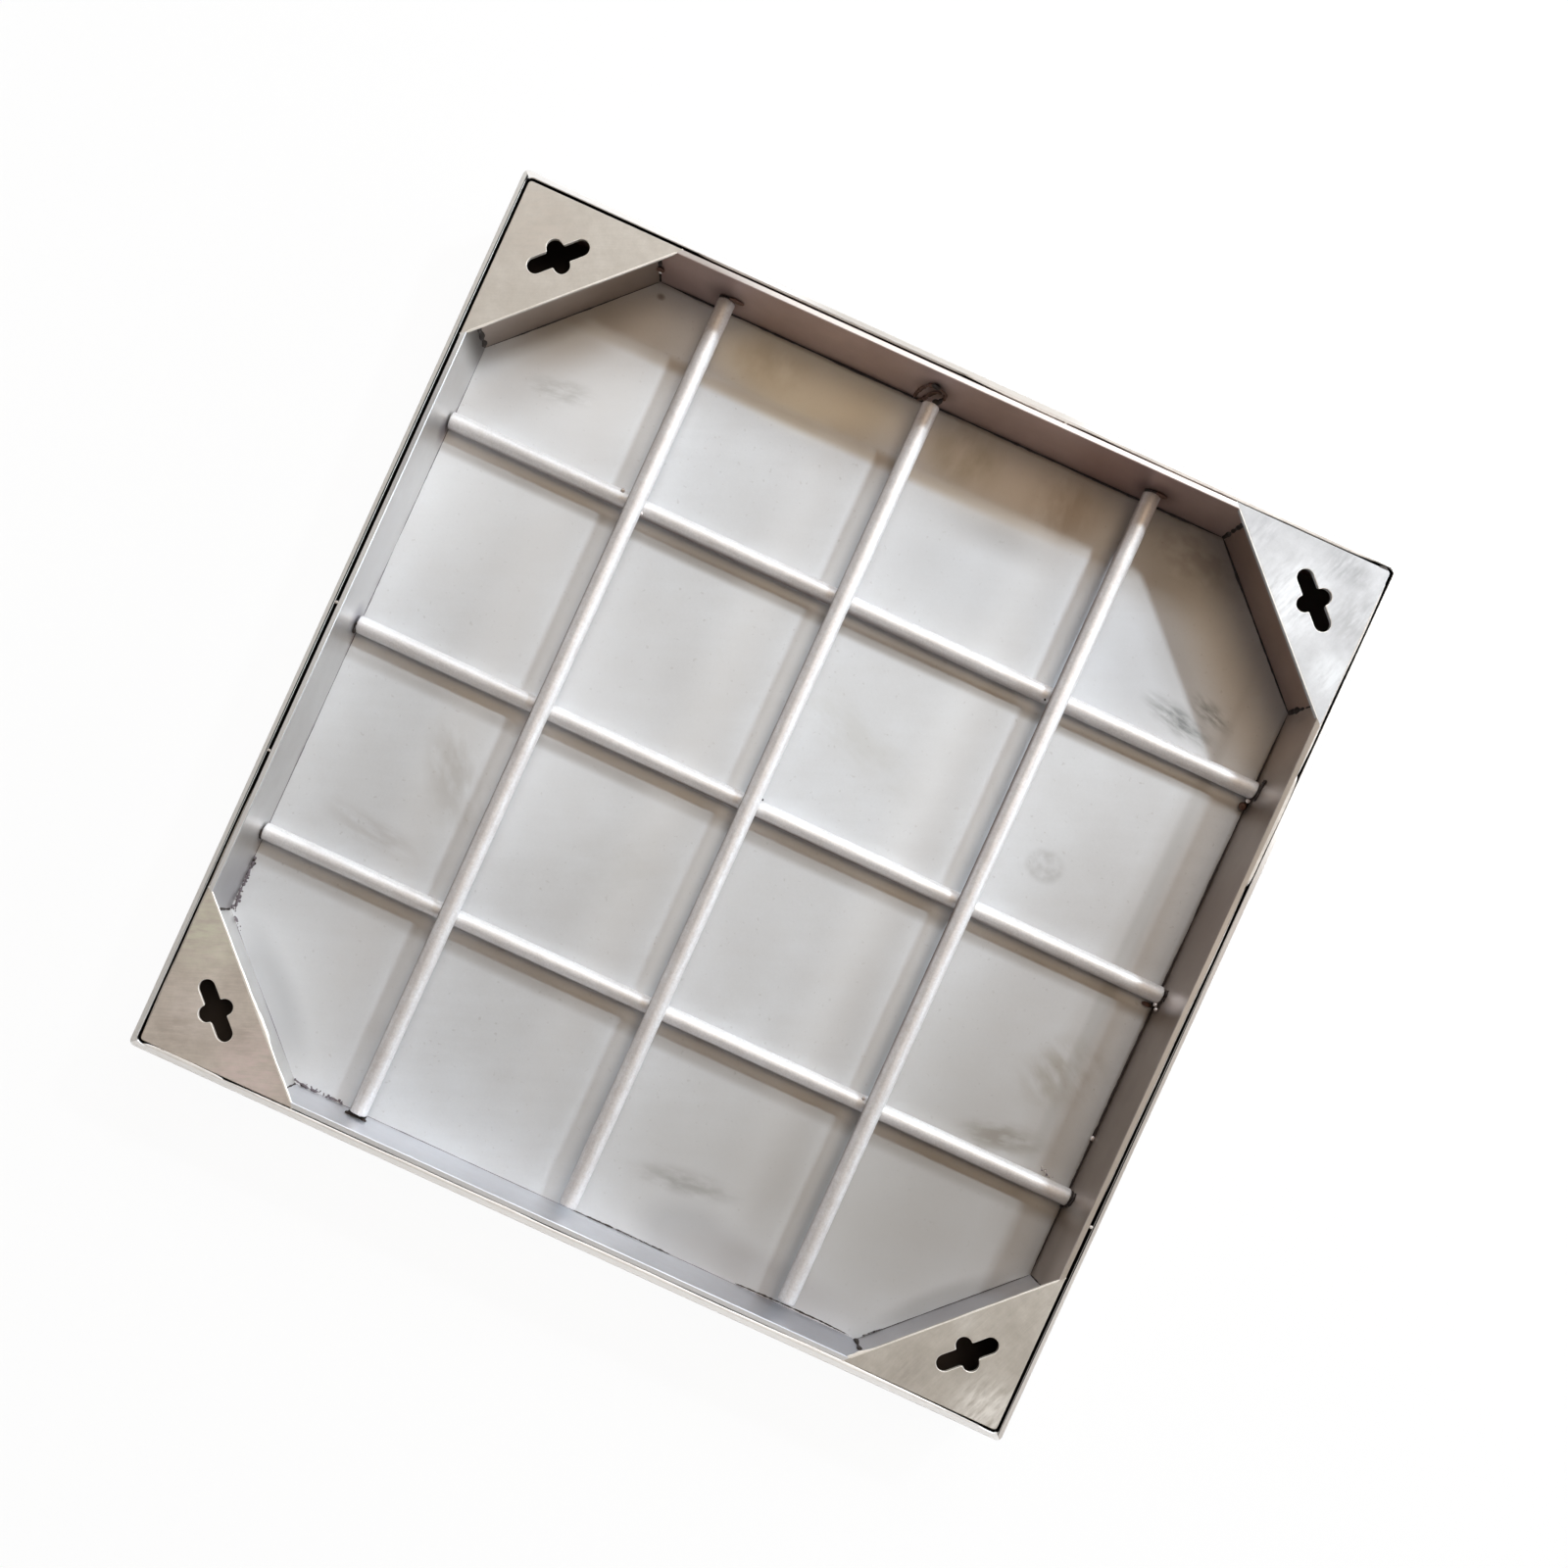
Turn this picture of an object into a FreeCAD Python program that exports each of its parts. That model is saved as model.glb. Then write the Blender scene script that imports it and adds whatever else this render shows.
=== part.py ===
import FreeCAD, Part
import os
from math import sqrt

# Square frame that is bedded in the paving: a folded angle section, mitred at the corners
frame_size = 500.0
frame_height = 50.0
frame_sheet = 3.0
ledge_width = 25.0
frame_corner_radius = 3.0

# Tray that takes the paving and stands on the frame's ledge
seat_gap = 1.5
wall_sheet = 3.0
floor_sheet = 3.0
tray_corner_radius = 2.0

# Triangular plates, let into the tops of the walls and ground flush with the rim
plate_sheet = 3.0
plate_depth = 62.0
ground_edge = 0.4

# Upright webs under the plates, behind their free edge
web_sheet = 3.0
web_setback = 6.3

# Cross-shaped holes for the lifting keys
key_slot_length = 35.0
key_cross_length = 19.6
key_slot_width = 9.5
key_corner_radius = 1.2
key_inset = 30.0

# Round rods, cross rods on the floor and long rods across them
rod_diameter = 10.0
rod_end_chamfer = 0.6
cross_rod_end_gap = 0.8

# How far each rod was laid from the even pitch
cross_rod_drift = {"front": -1.3, "middle": 0.3, "back": 2.8}
long_rod_drift = {"left": -8.8, "middle": -7.5, "right": 0.4}

# Gaps left between the ends of the long rods and the walls
long_rod_back_gap = {"left": 0.9, "middle": 6.0, "right": 0.8}
long_rod_front_gap = {"left": 2.6, "middle": 4.3, "right": 6.2}

# Levels and half-widths that follow from the sizes above
frame_half = frame_size / 2
frame_inner_half = frame_half - frame_sheet
tray_half = frame_inner_half - seat_gap
tray_inner_half = tray_half - wall_sheet
tray_bottom = frame_sheet
floor_top = tray_bottom + floor_sheet
rim = frame_height
plate_bottom = rim - plate_sheet
plate_edge = tray_half * sqrt(2) - plate_depth

sides = ["front", "right", "back", "left"]
corners = ["front_right", "back_right", "back_left", "front_left"]
origin = FreeCAD.Vector(0, 0, 0)
x_axis = FreeCAD.Vector(1, 0, 0)
y_axis = FreeCAD.Vector(0, 1, 0)
z_axis = FreeCAD.Vector(0, 0, 1)
tolerance = 0.001


def save(shape, node):
    """Write one piece to its own file."""
    shape.exportStep("parts/" + node + ".step")


def save_turned(shape, names, stem):
    """Write a piece four times, a quarter turn apart round the cover's axis."""
    for quarter, name in enumerate(names):
        turned = shape.copy()
        turned.rotate(origin, z_axis, 90 * quarter)
        save(turned, stem + "_" + name)


def square_prism(half, low, high, corner_radius=0.0):
    """Upright square block round the axis, with rounded corners if a radius is given."""
    prism = Part.makeBox(2 * half, 2 * half, high - low, FreeCAD.Vector(-half, -half, low))
    if corner_radius > 0:
        upright = [edge for edge in prism.Edges if edge.BoundBox.ZLength > tolerance]
        prism = prism.makeFillet(corner_radius, upright)
    return prism


def with_ground_rim(shape):
    """Take the sharp edge off everything that lies at the rim."""
    rim_edges = [edge for edge in shape.Edges if rim - edge.BoundBox.ZMin < tolerance]
    return shape.makeChamfer(ground_edge, rim_edges)


def front_mitre():
    """The quarter of the cover in front of both diagonals."""
    far = frame_size
    points = [origin, FreeCAD.Vector(far, -far, 0), FreeCAD.Vector(-far, -far, 0), origin]
    return Part.Face(Part.makePolygon(points)).extrude(z_axis * frame_height)


def diagonal_slab(near, far, low, high):
    """Block across the front right corner, between two distances from the cover's axis."""
    slab = Part.makeBox(far - near, 2 * frame_size, high - low, FreeCAD.Vector(near, -frame_size, low))
    slab.rotate(origin, z_axis, -45)
    return slab


def plate_space():
    """Everything beyond the plate's free edge, over the plate's thickness."""
    return diagonal_slab(plate_edge, frame_size, plate_bottom, rim)


def frame_side():
    """Front length of the frame: upright and ledge in one fold, with a round heel."""
    upright = square_prism(frame_half, 0, frame_height, frame_corner_radius)
    upright = upright.cut(square_prism(frame_inner_half, 0, frame_height, tray_corner_radius + seat_gap))
    ledge = square_prism(frame_half, 0, frame_sheet, frame_corner_radius)
    ledge = ledge.cut(square_prism(frame_half - ledge_width, 0, frame_sheet))
    ring = with_ground_rim(upright).fuse(ledge).removeSplitter()
    return ring.common(front_mitre()).cut(heel_waste())


def heel_waste():
    """What the fold takes away outside the heel, whose radius is the sheet's thickness."""
    corner = FreeCAD.Vector(-frame_half, -frame_half, 0)
    centre = corner + (y_axis + z_axis) * frame_sheet
    block = Part.makeBox(frame_size, frame_sheet, frame_sheet, corner)
    return block.cut(Part.makeCylinder(frame_sheet, frame_size, centre, x_axis))


def tray_wall():
    """Front wall, mitred at its ends and notched there for the two plates."""
    ring = square_prism(tray_half, tray_bottom, rim, tray_corner_radius)
    ring = ring.cut(square_prism(tray_inner_half, tray_bottom, rim))
    wall = with_ground_rim(ring).common(front_mitre())
    for quarter in (0, 3):
        notch = plate_space()
        notch.rotate(origin, z_axis, 90 * quarter)
        wall = wall.cut(notch)
    return wall


def tray_floor():
    """Square sheet between the feet of the walls."""
    return square_prism(tray_inner_half, tray_bottom, floor_top)


def corner_plate():
    """Front right plate: a part inside the walls, with its free edge ground, and one over them."""
    inside = square_prism(tray_inner_half, tray_bottom, rim).common(plate_space())
    free_edge = [edge for edge in inside.Edges if is_free_edge(edge)]
    inside = inside.makeChamfer(ground_edge, free_edge)
    ring = with_ground_rim(square_prism(tray_half, tray_bottom, rim, tray_corner_radius))
    over_walls = ring.cut(square_prism(tray_inner_half, tray_bottom, rim)).common(plate_space())
    return over_walls.fuse(inside).removeSplitter().cut(keyhole())


def is_free_edge(edge):
    """Whether an edge is the top edge of the plate's longest side."""
    middle = edge.CenterOfMass
    on_line = abs((middle.x - middle.y) / sqrt(2) - plate_edge) < tolerance
    return on_line and rim - edge.BoundBox.ZMin < tolerance


def slot(length):
    """Flat round-ended slot along X, centred on the origin."""
    radius = key_slot_width / 2
    end = length / 2 - radius
    near_left = FreeCAD.Vector(-end, -radius, 0)
    near_right = FreeCAD.Vector(end, -radius, 0)
    far_right = FreeCAD.Vector(end, radius, 0)
    far_left = FreeCAD.Vector(-end, radius, 0)
    outline = [
        Part.LineSegment(near_left, near_right),
        Part.Arc(near_right, FreeCAD.Vector(length / 2, 0, 0), far_right),
        Part.LineSegment(far_right, far_left),
        Part.Arc(far_left, FreeCAD.Vector(-length / 2, 0, 0), near_left),
    ]
    return Part.Face(Part.Wire([curve.toShape() for curve in outline]))


def keyhole():
    """Two crossed slots through the front right plate, the long one along its free edge."""
    cross = slot(key_cross_length)
    cross.rotate(origin, z_axis, 90)
    cross = cross.fuse(slot(key_slot_length)).removeSplitter()
    hole = cross.extrude(z_axis * plate_sheet)
    half_width = key_slot_width / 2
    inner_corners = [edge for edge in hole.Edges if is_inner_corner(edge, half_width)]
    hole = hole.makeFillet(key_corner_radius, inner_corners)
    hole.rotate(origin, z_axis, 45)
    hole.translate(FreeCAD.Vector(tray_half - key_inset, key_inset - tray_half, plate_bottom))
    return hole


def is_inner_corner(edge, half_width):
    """Whether an upright edge of the keyhole stands where the two slots cross."""
    box = edge.BoundBox
    if box.ZLength < tolerance:
        return False
    return max(abs(abs(box.Center.x) - half_width), abs(abs(box.Center.y) - half_width)) < tolerance


def corner_web():
    """Front right web, fitted between the walls, the floor and the plate."""
    near = plate_edge + web_setback
    slab = diagonal_slab(near, near + web_sheet, floor_top, plate_bottom)
    return slab.common(square_prism(tray_inner_half, floor_top, plate_bottom))


def rod(start, end):
    """Round rod between two points, with its end edges dressed."""
    along = end - start
    blank = Part.makeCylinder(rod_diameter / 2, along.Length, start, along)
    ends = [edge for edge in blank.Edges if isinstance(edge.Curve, Part.Circle)]
    return blank.makeChamfer(rod_end_chamfer, ends)


def even_places(drifts):
    """Even pitch across the tray for each rod, moved by its drift."""
    pitch = 2 * tray_inner_half / (len(drifts) + 1)
    first = pitch - tray_inner_half
    return {name: first + number * pitch + drifts[name] for number, name in enumerate(drifts)}


def cross_rods():
    """Rods from left to right, lying on the floor."""
    reach = tray_inner_half - cross_rod_end_gap
    height = floor_top + rod_diameter / 2
    for name, y in even_places(cross_rod_drift).items():
        save(rod(FreeCAD.Vector(-reach, y, height), FreeCAD.Vector(reach, y, height)), "cross_rod_" + name)


def long_rods():
    """Rods from front to back, lying across the others."""
    height = floor_top + rod_diameter + rod_diameter / 2
    for name, x in even_places(long_rod_drift).items():
        front = FreeCAD.Vector(x, long_rod_front_gap[name] - tray_inner_half, height)
        back = FreeCAD.Vector(x, tray_inner_half - long_rod_back_gap[name], height)
        save(rod(front, back), "long_rod_" + name)


os.makedirs("parts", exist_ok=True)
save_turned(frame_side(), sides, "frame_side")
save(tray_floor(), "tray_floor")
save_turned(tray_wall(), sides, "tray_wall")
save_turned(corner_plate(), corners, "corner_plate")
save_turned(corner_web(), corners, "corner_web")
cross_rods()
long_rods()
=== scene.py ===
import math
import bpy
import numpy as np
from mathutils import Euler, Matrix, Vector


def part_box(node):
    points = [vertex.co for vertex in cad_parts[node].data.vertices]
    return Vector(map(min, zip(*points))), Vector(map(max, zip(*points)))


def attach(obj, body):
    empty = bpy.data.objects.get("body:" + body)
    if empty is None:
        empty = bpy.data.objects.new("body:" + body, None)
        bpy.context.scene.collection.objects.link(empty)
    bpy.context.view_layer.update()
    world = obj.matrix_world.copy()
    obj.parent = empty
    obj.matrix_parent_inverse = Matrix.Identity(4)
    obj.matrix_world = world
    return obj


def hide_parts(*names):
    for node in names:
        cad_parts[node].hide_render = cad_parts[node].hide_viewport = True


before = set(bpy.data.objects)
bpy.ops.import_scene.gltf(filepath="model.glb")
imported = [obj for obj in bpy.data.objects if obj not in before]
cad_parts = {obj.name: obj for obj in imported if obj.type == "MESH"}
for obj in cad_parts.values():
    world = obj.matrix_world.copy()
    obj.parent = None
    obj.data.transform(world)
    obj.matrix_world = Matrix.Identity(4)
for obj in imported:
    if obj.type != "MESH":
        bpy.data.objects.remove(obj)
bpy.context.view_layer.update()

mm = 0.001  # places and sizes below are millimetres, meshes are metres


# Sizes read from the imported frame

def boxOf(nodeName):
    low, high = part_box(nodeName)
    return np.array(low) / mm, np.array(high) / mm


wallLow, wallHigh = boxOf("tray_wall_back")
webLow, webHigh = boxOf("corner_web_back_right")
plateLow, plateHigh = boxOf("corner_plate_back_right")

cover = dict(
    rim=wallHigh[2],
    floorTop=boxOf("tray_floor")[1][2],
    inner=wallLow[1],                     # inner face of a tray wall from the middle
    outer=wallHigh[1],                    # outer face of a tray wall
    frameOuter=boxOf("frame_side_back")[1][1],
    frameSheet=3,
    webLine=webLow[0] + webHigh[0],       # |x| + |y| on a corner web's open face
    plateLine=plateLow[0] + plateHigh[0],  # |x| + |y| on a corner plate's free edge
    plateUnder=plateLow[2],
)
cover["wallReach"] = cover["webLine"] - cover["inner"]   # a wall shows between +-this
cover["frameInner"] = cover["frameOuter"] - cover["frameSheet"]

sides = ["front", "right", "back", "left"]               # each a quarter turn on from the last
corners = ["front_right", "back_right", "back_left", "front_left"]


# Camera, straight down with a turn about the line of sight

camera = dict(place=(-0.0228, -0.0654, 0.8024), turn=(-0.3197, 0.3495, 24.5402), lens=33.19,
              sensor=36, shift=(0.0777, 0.0806))


def fullTurn(count):
    return np.linspace(0, 2 * math.pi, count, endpoint=False)


def newObject(name, data):
    made = bpy.data.objects.new(name, data)
    bpy.context.scene.collection.objects.link(made)
    return made


def makeCamera():
    data = bpy.data.cameras.new("camera")
    data.lens = camera["lens"]
    data.sensor_width = camera["sensor"]
    data.shift_x, data.shift_y = camera["shift"]
    data.clip_start = 0.01
    made = newObject("camera", data)
    made.location = camera["place"]
    made.rotation_euler = Euler([math.radians(angle) for angle in camera["turn"]])
    bpy.context.scene.camera = made


# Node helpers

def linearTone(screen):
    # screen values 0..255 to linear light
    values = np.array(screen) / 255
    linear = np.where(values <= 0.04045, values / 12.92, ((values + 0.055) / 1.055) ** 2.4)
    return (*linear.tolist(), 1)


def addNode(tree, kind, inputs, **settings):
    made = tree.nodes.new("ShaderNode" + kind)
    for name, value in settings.items():
        setattr(made, name, value)
    for name, value in inputs.items():
        if isinstance(value, bpy.types.NodeSocket):
            tree.links.new(value, made.inputs[name])
        else:
            made.inputs[name].default_value = value
    return made


def placed(tree, at, size, turn):
    # Object coordinates measured from a place, along turned axes, in units of size
    where = addNode(tree, "TexCoord", {}).outputs["Object"]
    inputs = {"Vector": where, "Location": [c * mm for c in at], "Scale": [c * mm for c in size],
              "Rotation": (0, 0, math.radians(turn))}
    return addNode(tree, "Mapping", inputs, vector_type="TEXTURE").outputs["Vector"]


def spread(tree, value, low, high, fromValue=0.0, toValue=1.0, smooth=False):
    inputs = {"Value": value, "From Min": low, "From Max": high, "To Min": fromValue, "To Max": toValue}
    kind = "SMOOTHSTEP" if smooth else "LINEAR"
    return addNode(tree, "MapRange", inputs, interpolation_type=kind).outputs["Result"]


# detail of each pattern, the noise levels that become 0 and 1, and a start so that no two line up
patterns = dict(clouds=(4, 0.3, 0.7, 0), small=(3, 0.3, 0.7, 40), brush=(3, 0.3, 0.7, 7),
                grain=(2, 0.25, 0.75, 13), specks=(1, 0.7, 0.8, 91), streaks=(4, 0.3, 0.62))
speckSize = 2.6


def noise(tree, size, turn, detail, low, high, start):
    # cloud of the given grain size, 0..1
    where = placed(tree, (start, 1.7 * start, 0), size, turn)
    value = addNode(tree, "TexNoise", {"Vector": where, "Scale": 1, "Detail": detail}).outputs["Fac"]
    return spread(tree, value, low, high)


def reckon(tree, operation, first, second=0.0):
    return addNode(tree, "Math", {0: first, 1: second}, operation=operation).outputs[0]


def times(tree, first, second):
    return reckon(tree, "MULTIPLY", first, second)


def blendColour(tree, factor, first, second, mode="MIX"):
    # a colour is a socket or a triple of screen values
    first, second = [linearTone(side) if isinstance(side, tuple) else side for side in (first, second)]
    made = addNode(tree, "Mix", {0: factor, 6: first, 7: second}, data_type="RGBA", blend_type=mode)
    return made.outputs[2]


def markMask(tree, mark):
    # 1 in the middle of a mark, fading to 0 at its edge, broken up by streaks; marks are stains, painted
    # shade and painted light
    near = placed(tree, mark["at"], mark["size"], mark["turn"])
    far = addNode(tree, "VectorMath", {0: near}, operation="LENGTH").outputs["Value"]
    fade = spread(tree, far, mark.get("core", 0.15), 1, 1, 0, smooth=True)
    if mark.get("grain"):
        streaks = noise(tree, mark["grain"], mark["turn"], *patterns["streaks"], mark["at"][0])
        fade = times(tree, fade, streaks)
    return times(tree, fade, mark["amount"])


def axes(tree):
    where = addNode(tree, "TexCoord", {}).outputs["Object"]
    return addNode(tree, "SeparateXYZ", {"Vector": where}).outputs


def slotMask(tree, top):
    # 1 in the slot between tray and frame, where its painted shade goes, 0 elsewhere, by the larger of |x|
    # and |y|; it fades out over the last top mm below the rim
    parts = axes(tree)
    far = reckon(tree, "MAXIMUM", reckon(tree, "ABSOLUTE", parts["X"]), reckon(tree, "ABSOLUTE", parts["Y"]))
    outer, inner, rim = cover["outer"] * mm, cover["frameInner"] * mm, cover["rim"] * mm
    past = spread(tree, far, outer - 0.2 * mm, outer - 0.1 * mm)
    short = spread(tree, far, inner + 0.1 * mm, inner + 0.2 * mm, 1, 0)
    below = spread(tree, parts["Z"], rim - top * mm, rim - 0.25 * top * mm, 1, 0)
    above = spread(tree, parts["Z"], 1 * mm, 2 * mm)
    return times(tree, times(tree, past, short), times(tree, below, above))


def rimMask(tree):
    # 1 on the top edge of a wall, 0 below it
    return spread(tree, axes(tree)["Z"], (cover["rim"] - 0.12) * mm, (cover["rim"] - 0.04) * mm)


def steel(name, look):
    # base colour, clouds of a second colour, brushing, fine grain, specks, marks of stain, painted shade and
    # painted light, and painted shade in the slot, all on Object coordinates
    material = bpy.data.materials.new(name)
    material.use_nodes = True
    tree = material.node_tree
    shader = tree.nodes["Principled BSDF"]
    shader.inputs["Metallic"].default_value = look["metallic"]
    clouds = noise(tree, [look["cloudSize"]] * 3, 0, *patterns["clouds"])
    colour = blendColour(tree, times(tree, clouds, look["cloudAmount"]), look["colour"], look["cloudColour"])
    small = noise(tree, [look["cloudSize"] / 5] * 3, 0, *patterns["small"])
    colour = blendColour(tree, times(tree, small, look["smallAmount"]), colour, look["cloudColour"])
    brush = noise(tree, look["brushSize"], look["brushTurn"], *patterns["brush"])
    grain = noise(tree, [look["grainSize"]] * 3, 0, *patterns["grain"])
    for pattern, amount in ((brush, look["brushAmount"]), (grain, look["grainAmount"])):
        shade = spread(tree, pattern, 0, 1, 1 - amount, 1 + amount)
        colour = blendColour(tree, 1, colour, shade, "MULTIPLY")
    if look.get("specks"):
        dots = noise(tree, [speckSize] * 3, 0, *patterns["specks"])
        colour = blendColour(tree, times(tree, dots, look["specks"]), colour, look["speckColour"])
    for mark in look.get("marks", []):
        colour = blendColour(tree, markMask(tree, mark), colour, mark["colour"])
    if look.get("rimColour"):
        rim = rimMask(tree)
        colour = blendColour(tree, rim, colour, look["rimColour"])
        for mark in look.get("rimMarks", []):
            colour = blendColour(tree, times(tree, rim, markMask(tree, mark)), colour, mark["colour"])
        tree.links.new(spread(tree, rim, 0, 1, look["metallic"], 0.2), shader.inputs["Metallic"])
    if look.get("slotShade"):
        colour = blendColour(tree, slotMask(tree, look["slotTop"]), colour, look["slotShade"])
    tree.links.new(colour, shader.inputs["Base Color"])
    rough = spread(tree, times(tree, clouds, brush), 0, 1, look["roughness"] - look["roughSpread"],
                   look["roughness"] + look["roughSpread"])
    tree.links.new(rough, shader.inputs["Roughness"])
    bump = addNode(tree, "Bump", {"Strength": 1, "Distance": look["bump"] * mm, "Height": grain})
    fine = addNode(tree, "Bump", {"Strength": 1, "Distance": look["brushBump"] * mm, "Height": brush,
                                  "Normal": bump.outputs["Normal"]})
    tree.links.new(fine.outputs["Normal"], shader.inputs["Normal"])
    return material


# Floor under the cover and lights

stage = dict(reach=1700, bend=700, height=1300, colour=0.95, whiteShare=0.95, under=0.3)
lights = dict(
    sky=(1, 0.72, 0.48), skyLevel=0.07,
    # name, direction from the cover, distance, size, watts, colour
    lamps=[("key", (0.64, 0.98, 1), 2100, (260, 70), 21.5, (0.84, 0.93, 1)),
           ("window", (0, 0.79, 0.62), 2100, (900, 500), 15.5, (0.88, 0.95, 1)),
           ("side", (0.83, 0.42, 0.33), 1550, (1200, 450), 13.5, (0.84, 0.93, 1)),
           ("fill", (0.15, 0.30, 0.93), 2100, (1200, 1000), 11, (1, 0.75, 0.52))])


def makeStage():
    # a profile turned round Z: flat floor, a quarter round bend and an upright rim
    arc = np.linspace(0, math.pi / 2, 13)
    reach, bend = stage["reach"], stage["bend"]
    flat = [1, *np.linspace(200, reach, 8)]
    radii = np.concatenate([flat, reach + bend * np.sin(arc[1:]), [reach + bend]])
    heights = np.concatenate([np.zeros(len(flat)), bend * (1 - np.cos(arc[1:])), [stage["height"]]])
    turn = fullTurn(96)
    rings = np.stack([radii[:, None] * np.cos(turn), radii[:, None] * np.sin(turn),
                      heights[:, None] - stage["under"] + 0 * turn], axis=-1)
    index = np.arange(rings.shape[0] * rings.shape[1]).reshape(rings.shape[:2])
    after = np.roll(index, -1, axis=1)
    faces = np.stack([index[:-1], index[1:], after[1:], after[:-1]], axis=-1).reshape(-1, 4).tolist()
    faces.append(index[0].tolist())
    mesh = bpy.data.meshes.new("studio_floor")
    mesh.from_pydata(rings.reshape(-1, 3) * mm, [], faces)
    mesh.polygons.foreach_set("use_smooth", np.ones(len(faces), dtype=bool))
    material = bpy.data.materials.new("studio_floor")
    material.use_nodes = True
    tree = material.node_tree
    tree.nodes.clear()
    grey = (stage["colour"],) * 3 + (1,)
    matt = addNode(tree, "BsdfDiffuse", {"Color": grey}).outputs["BSDF"]
    white = addNode(tree, "Emission", {"Color": (1, 1, 1, 1), "Strength": 1}).outputs["Emission"]
    ray = addNode(tree, "LightPath", {}).outputs
    seen = reckon(tree, "MAXIMUM", ray["Is Camera Ray"], ray["Is Glossy Ray"])
    seen = reckon(tree, "MAXIMUM", seen, ray["Is Transmission Ray"])
    share = times(tree, seen, stage["whiteShare"])
    mixed = addNode(tree, "MixShader", {0: share, 1: matt, 2: white}).outputs["Shader"]
    output = tree.nodes.new("ShaderNodeOutputMaterial")
    tree.links.new(mixed, output.inputs["Surface"])
    mesh.materials.append(material)
    floor = newObject("studio_floor", mesh)


def makeLights():
    for name, direction, away, size, watts, colour in lights["lamps"]:
        data = bpy.data.lights.new(name, "AREA")
        data.shape = "RECTANGLE"
        data.size, data.size_y = [side * mm for side in size]
        data.energy = watts
        data.color = colour
        lamp = newObject(name, data)
        toward = Vector(direction).normalized()
        lamp.location = toward * away * mm
        lamp.rotation_euler = toward.to_track_quat("Z", "Y").to_euler()
    world = bpy.data.worlds.new("sky")
    world.use_nodes = True
    background = world.node_tree.nodes["Background"]
    background.inputs["Color"].default_value = (*lights["sky"], 1)
    background.inputs["Strength"].default_value = lights["skyLevel"]
    bpy.context.scene.world = world
    bpy.context.scene.view_settings.view_transform = "Standard"


print("camera, floor and lights")
makeCamera()
makeStage()
makeLights()


# Surfaces from numpy

def smoothNoise(rows, columns, grain, seed):
    # random numbers blurred by exp(-(grain * frequency)^2 / 2) both ways; the field joins up round its edges
    field = np.random.default_rng(seed).standard_normal((rows, columns))
    rowWave = 2 * math.pi * np.fft.fftfreq(rows)[:, None] * grain[0]
    columnWave = 2 * math.pi * np.fft.fftfreq(columns)[None, :] * grain[1]
    blurred = np.fft.ifft2(np.fft.fft2(field) * np.exp(-(rowWave ** 2 + columnWave ** 2) / 2)).real
    return blurred / np.abs(blurred).max()


def unit(vectors):
    return vectors / np.linalg.norm(vectors, axis=1)[:, None]


def ripples(count, grain, seed):
    # the same along a line
    return smoothNoise(count, 1, (grain, 1), seed)[:, 0]


def sixVolumes(points, faces):
    # six times the volume inside the faces, summed over fans of triangles seen from the origin
    corner = points[faces]
    count = corner.shape[1]
    return sum(np.einsum("ij,ij->i", corner[:, 0], np.cross(corner[:, step], corner[:, step + 1])).sum()
               for step in range(1, count - 1))


def closeRings(rings):
    # quads between neighbouring rings, and a fan to the middle of the first and the last ring
    steps, around = rings.shape[:2]
    index = np.arange(steps * around).reshape(steps, around)
    after = np.roll(index, -1, axis=1)
    quads = np.stack([index[:-1], after[:-1], after[1:], index[1:]], axis=-1).reshape(-1, 4)
    ends = np.stack([rings[0].mean(axis=0), rings[-1].mean(axis=0)])
    firstFan = np.stack([after[0], index[0], np.full(around, steps * around)], axis=-1)
    lastFan = np.stack([index[-1], after[-1], np.full(around, steps * around + 1)], axis=-1)
    points = np.concatenate([rings.reshape(-1, 3), ends])
    fans = np.concatenate([firstFan, lastFan])
    if sixVolumes(points, quads) + sixVolumes(points, fans) < 0:
        quads, fans = quads[:, ::-1], fans[:, ::-1]
    return points, quads, fans


rimClear = 0.01    # how far everything stays below the rim
sharpAngle = 50  # edges sharper than this aren't smoothed


def makePiece(name, surfaces, material):
    points, faces, start = [], [], 0
    for rings in surfaces:
        ringPoints, quads, fans = closeRings(rings)
        points.append(ringPoints)
        faces += (quads + start).tolist() + (fans + start).tolist()
        start += len(ringPoints)
    points = np.concatenate(points)
    points[:, 2] = np.minimum(points[:, 2], cover["rim"] - rimClear)
    mesh = bpy.data.meshes.new(name)
    mesh.from_pydata(points * mm, [], faces)
    mesh.polygons.foreach_set("use_smooth", np.ones(len(faces), dtype=bool))
    mesh.set_sharp_from_angle(angle=math.radians(sharpAngle))
    mesh.materials.append(material)
    piece = newObject(name, mesh)
    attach(piece, "root")
    return piece


def makeRow(name, shape, rows, seed, material):
    # one piece from a row of like surfaces, each with a seed of its own
    makePiece(name, [shape(*row, seed + number) for number, row in enumerate(rows)], material)


def quarterTurned(points, quarters):
    # (x, y) to (-y, x), once for each quarter turn
    for _ in range(quarters % 4):
        points = np.stack([-points[..., 1], points[..., 0], points[..., 2]], axis=-1)
    return points


def straight(start, stop, step):
    # evenly spaced points from start to stop
    start, stop = np.array(start, dtype=float), np.array(stop, dtype=float)
    count = max(int(np.linalg.norm(stop - start) / step), 3)
    return start + np.linspace(0, 1, count)[:, None] * (stop - start)


def bead(path, across, up, width, height, swell, around=10):
    # path + across * width * swell * cos(a) + up * height * swell * sin(a)
    angle = fullTurn(around)
    across = np.broadcast_to(np.array(across, dtype=float), path.shape)
    up = np.broadcast_to(np.array(up, dtype=float), path.shape)
    wide = (width * swell)[:, None] * np.cos(angle)
    high = (height * swell)[:, None] * np.sin(angle)
    return path[:, None, :] + across[:, None, :] * wide[..., None] + up[:, None, :] * high[..., None]


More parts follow.
